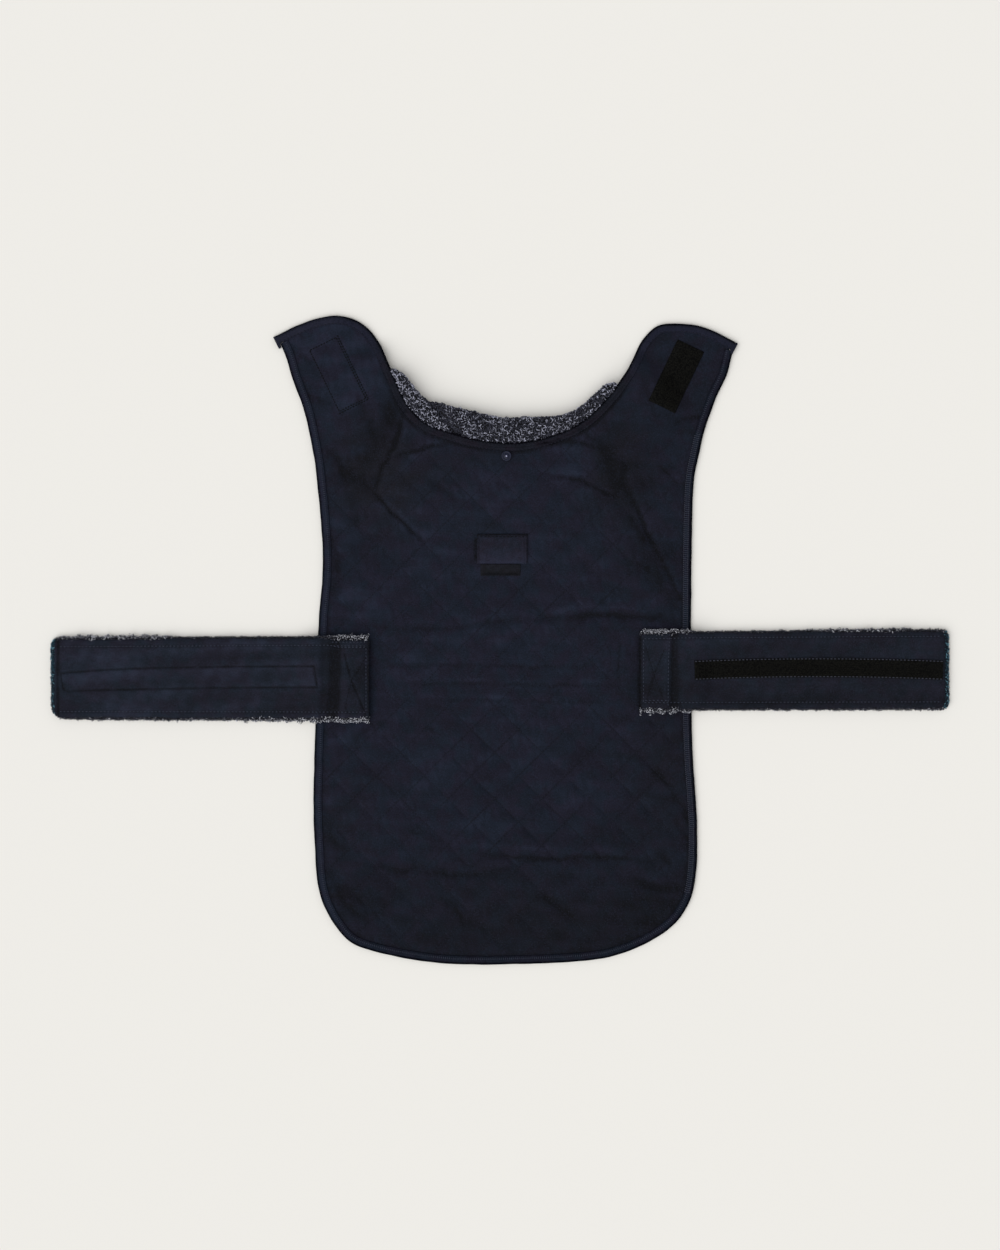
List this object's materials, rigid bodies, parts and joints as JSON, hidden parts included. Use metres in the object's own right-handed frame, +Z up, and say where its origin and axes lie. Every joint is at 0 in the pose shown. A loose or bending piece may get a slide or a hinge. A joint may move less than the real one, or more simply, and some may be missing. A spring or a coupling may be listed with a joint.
{
  "type": "dog winter coat",
  "caption": "Quilted dog coat laid flat with its lining up: back panel with neck tabs, pile collar, belly straps with hook and loop tape, bound edges and a leash slot.",
  "frame": {"origin": "on the surface that the coat lies on, below the middle of its outline", "axes": "+X along the belly straps to the right strap with the hook tape, +Y towards the neck, +Z up out of the lining"},
  "size_m": [0.7648, 0.5513, 0.0134],
  "materials": {
    "navy_lining": "matte brushed twill, diamond quilted",
    "navy_binding": "matte folded bias binding, topstitched",
    "grey_pile": "curly boucle pile",
    "black_hook_tape": "woven hook tape",
    "dark_loop_tape": "brushed loop tape",
    "navy_stud": "moulded cap of a press stud"
  },
  "bodies": {
    "root": {"body_panel": "navy_lining", "side_binding": "navy_binding", "neck_binding": "navy_binding", "collar": "grey_pile", "strap_left_pile": "grey_pile", "strap_left_lining": "navy_lining", "strap_right_pile": "grey_pile", "strap_right_lining": "navy_lining", "belly_hook_tape": "black_hook_tape", "belly_loop_tape": "dark_loop_tape", "neck_hook_tape": "black_hook_tape", "neck_loop_tape": "dark_loop_tape", "leash_flap": "navy_lining", "leash_tape": "dark_loop_tape", "neck_stud": "navy_stud"}
  },
  "joints": []
}
